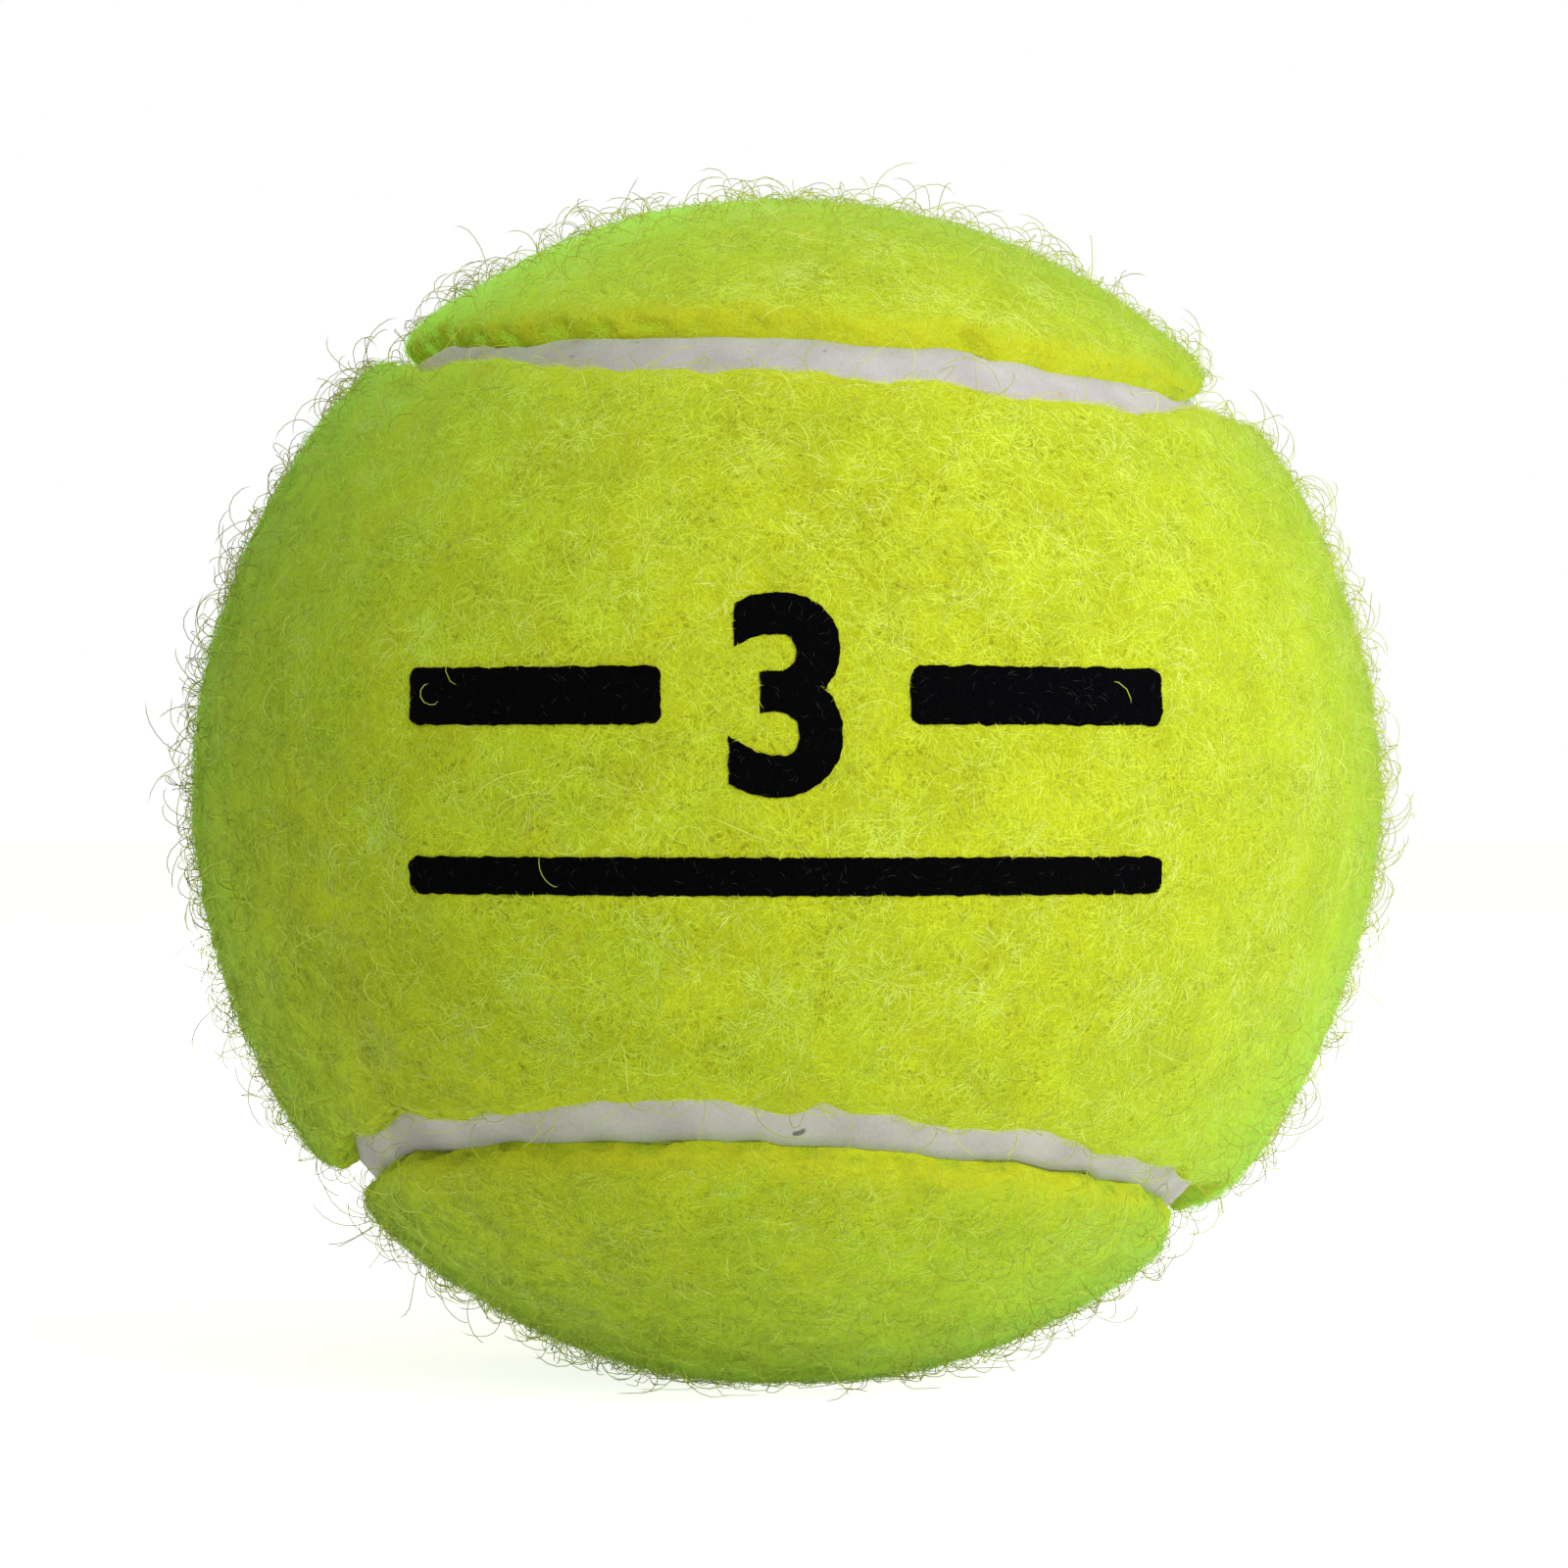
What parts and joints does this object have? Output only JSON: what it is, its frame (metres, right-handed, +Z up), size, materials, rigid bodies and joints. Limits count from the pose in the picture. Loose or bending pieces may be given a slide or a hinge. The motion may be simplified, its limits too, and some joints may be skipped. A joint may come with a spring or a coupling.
{
  "type": "padel ball",
  "caption": "Hollow pressurised rubber ball covered with interlocking dumbbell felt panels and a recessed pale seam, for playing padel.",
  "frame": {"origin": "centre of the ball", "axes": "+Z up as the ball stands on its pressed flat, -Y out of the side that carries the printed mark, +X to the right of that side"},
  "size_m": [0.0655, 0.0656, 0.0651],
  "materials": {
    "felt": "napped woven felt, fluorescent yellow-green",
    "seam": "matte pale grey vulcanised rubber",
    "coat": "matte vulcanised rubber solution",
    "core": "buffed moulded rubber",
    "cement": "cured rubber cement"
  },
  "bodies": {
    "root": {"core_half_upper": "core", "core_half_lower": "core", "core_joint_ring": "cement", "backing_coat_front": "coat", "backing_coat_rear": "coat", "felt_panel_front": "felt", "felt_panel_rear": "felt", "seam_strip": "seam"}
  },
  "joints": []
}
